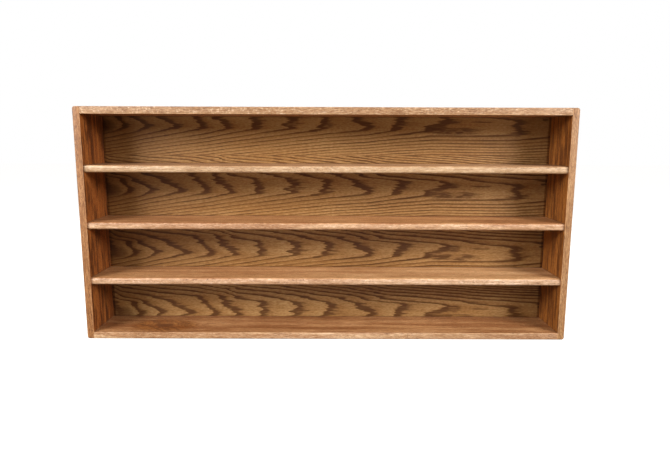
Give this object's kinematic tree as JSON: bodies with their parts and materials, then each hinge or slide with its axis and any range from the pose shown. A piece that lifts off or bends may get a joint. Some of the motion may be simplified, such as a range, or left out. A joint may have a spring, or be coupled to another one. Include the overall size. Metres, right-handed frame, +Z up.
{
  "type": "cd storage cabinet",
  "caption": "Wide, shallow, open-fronted oak cabinet with fixed shelves that hold disc cases in rows, closed at the back by a veneered panel.",
  "frame": {"origin": "middle of the underside: half way across the width and the depth, at the level that it stands on", "axes": "+X to the right seen from the open front, +Y from the open front to the back panel, +Z up"},
  "size_m": [1.3208, 0.165, 0.6287],
  "materials": {
    "solid_oak": "satin lacquer",
    "oak_veneer": "satin lacquer",
    "oak_plug": "satin lacquer",
    "side_screw_steel": "yellow zinc",
    "panel_screw_steel": "bright zinc"
  },
  "bodies": {
    "root": {"left_side": "solid_oak", "right_side": "solid_oak", "top_board": "solid_oak", "upper_shelf": "solid_oak", "middle_shelf": "solid_oak", "lower_shelf": "solid_oak", "bottom_board": "solid_oak", "back_panel": "oak_veneer", "top_board_plugs": "oak_plug", "upper_shelf_plugs": "oak_plug", "middle_shelf_plugs": "oak_plug", "lower_shelf_plugs": "oak_plug", "bottom_board_plugs": "oak_plug", "top_board_screws": "side_screw_steel", "upper_shelf_screws": "side_screw_steel", "middle_shelf_screws": "side_screw_steel", "lower_shelf_screws": "side_screw_steel", "bottom_board_screws": "side_screw_steel", "panel_screws_top_board": "panel_screw_steel", "panel_screws_upper_shelf": "panel_screw_steel", "panel_screws_middle_shelf": "panel_screw_steel", "panel_screws_lower_shelf": "panel_screw_steel", "panel_screws_bottom_board": "panel_screw_steel", "panel_screws_left_side": "panel_screw_steel", "panel_screws_right_side": "panel_screw_steel"}
  },
  "joints": []
}
